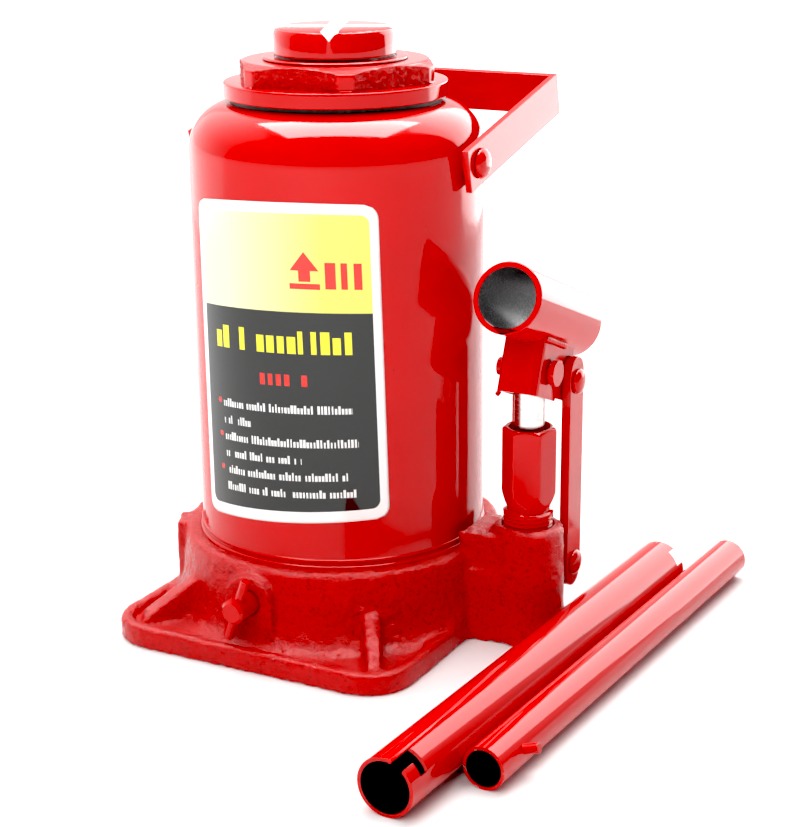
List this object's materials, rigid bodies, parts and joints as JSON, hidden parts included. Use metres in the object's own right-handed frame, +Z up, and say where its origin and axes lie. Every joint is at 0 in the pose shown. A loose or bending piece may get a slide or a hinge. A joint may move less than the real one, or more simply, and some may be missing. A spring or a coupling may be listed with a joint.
{
  "type": "hydraulic bottle jack",
  "caption": "Hydraulic bottle jack with screw-extension ram, lever pump, release valve, folding carry handle and a two-piece tubular pump handle lying beside it.",
  "frame": {"origin": "centre of the ram on the underside of the base", "axes": "+Z up along the ram, -Y the front with the release valve and the mouth of the handle socket, +X the pump side"},
  "size_m": [0.2157, 0.2571, 0.242],
  "materials": {
    "cast_paint": "rough sand casting under glossy red enamel",
    "forged_paint": "forged steel under glossy red enamel",
    "gloss_paint": "glossy red enamel",
    "bright_steel": "ground steel",
    "plated_steel": "zinc plated",
    "copper": "soft copper",
    "black_rubber": "satin",
    "label": null
  },
  "bodies": {
    "base": {"base_casting": "cast_paint", "reservoir_tank": "gloss_paint", "top_nut": "forged_paint", "tank_top_gasket": "black_rubber", "tank_bottom_gasket": "black_rubber", "cylinder_gasket": "copper", "ram_o_ring": "black_rubber", "wiper_ring": "gloss_paint", "filler_plug": "black_rubber", "overload_valve_screw": "plated_steel", "overload_valve_spring": "plated_steel", "label_plate": "label", "hydraulic_cylinder": "bright_steel", "pump_cylinder": "gloss_paint", "pump_packing": "black_rubber", "pump_gland_ring": "bright_steel", "pump_base_washer": "copper", "check_balls": "bright_steel", "check_spring": "plated_steel", "carry_handle_studs": "gloss_paint"},
    "ram_column": {"ram": "bright_steel", "ram_piston": "bright_steel", "piston_cup_seal": "black_rubber"},
    "screw_stop": {"screw_stop_ring": "plated_steel"},
    "load_screw": {"extension_screw": "bright_steel", "saddle": "gloss_paint"},
    "plunger": {"pump_plunger": "bright_steel", "plunger_pin": "gloss_paint", "plunger_pin_washer": "gloss_paint", "plunger_split_pin": "gloss_paint"},
    "handle_socket": {"handle_socket_tube": "gloss_paint", "handle_socket_yoke": "gloss_paint"},
    "fulcrum_link": {"link_bars": "gloss_paint", "link_upper_rivet": "gloss_paint", "link_lower_rivet": "gloss_paint"},
    "valve_ball": {"release_ball": "bright_steel"},
    "release_valve": {"release_valve_screw": "gloss_paint", "release_tee_pin": "gloss_paint", "release_o_ring": "black_rubber"},
    "bail": {"carry_handle": "gloss_paint"},
    "large_tube": {"handle_tube_large": "gloss_paint"},
    "small_tube": {"handle_tube_small": "gloss_paint", "handle_tube_peg": "gloss_paint"}
  },
  "joints": [
    {"name": "ram_lift", "type": "slide", "parent": "base", "child": "ram_column", "axis": [0, 0, 1], "range_m": [0, 0.15]},
    {"name": "screw_rise", "type": "slide", "parent": "ram_column", "child": "screw_stop", "axis": [0, 0, 1], "range_m": [0, 0.0601]},
    {"name": "screw_turn", "type": "hinge", "parent": "screw_stop", "child": "load_screw", "pos_m": [0, 0, 0.2], "axis": [0, 0, 1], "range_deg": [0, 5400]},
    {"name": "pump_stroke", "type": "slide", "parent": "base", "child": "plunger", "axis": [0, 0, 1], "range_m": [-0.009, 0.009]},
    {"name": "socket_tilt", "type": "hinge", "parent": "plunger", "child": "handle_socket", "pos_m": [0.0855, 0, 0.1125], "axis": [-1, 0, 0], "range_deg": [-30, 30]},
    {"name": "link_swing", "type": "hinge", "parent": "base", "child": "fulcrum_link", "pos_m": [0.0855, 0.018, 0.0275], "axis": [1, 0, 0], "range_deg": [-3, 3]},
    {"name": "valve_creep", "type": "slide", "parent": "base", "child": "valve_ball", "axis": [0, -1, 0], "range_m": [0, 0.00187]},
    {"name": "valve_turn", "type": "hinge", "parent": "valve_ball", "child": "release_valve", "pos_m": [-0.004, -0.07, 0.0235], "axis": [0, -1, 0], "range_deg": [0, 451]},
    {"name": "carry_handle_swing", "type": "hinge", "parent": "base", "child": "bail", "pos_m": [0, 0, 0.1924], "axis": [1, 0, 0], "range_deg": [-45, 195]},
    {"name": "large_tube_slide", "type": "slide", "parent": "base", "child": "large_tube", "axis": [-0.0576, -0.9983, 0], "range_m": [0, 0.1]},
    {"name": "small_tube_slide", "type": "slide", "parent": "base", "child": "small_tube", "axis": [-0.0576, -0.9983, 0], "range_m": [0, 0.1]}
  ],
  "couplings": [
    {"joint": "screw_rise", "follows": "screw_turn", "m_per_rad": 0.00063662},
    {"joint": "socket_tilt", "follows": "pump_stroke", "rad_per_m": 58.1},
    {"joint": "link_swing", "follows": "pump_stroke", "rad_per_m": 5.7},
    {"joint": "valve_turn", "follows": "valve_creep", "rad_per_m": 4188.8}
  ]
}
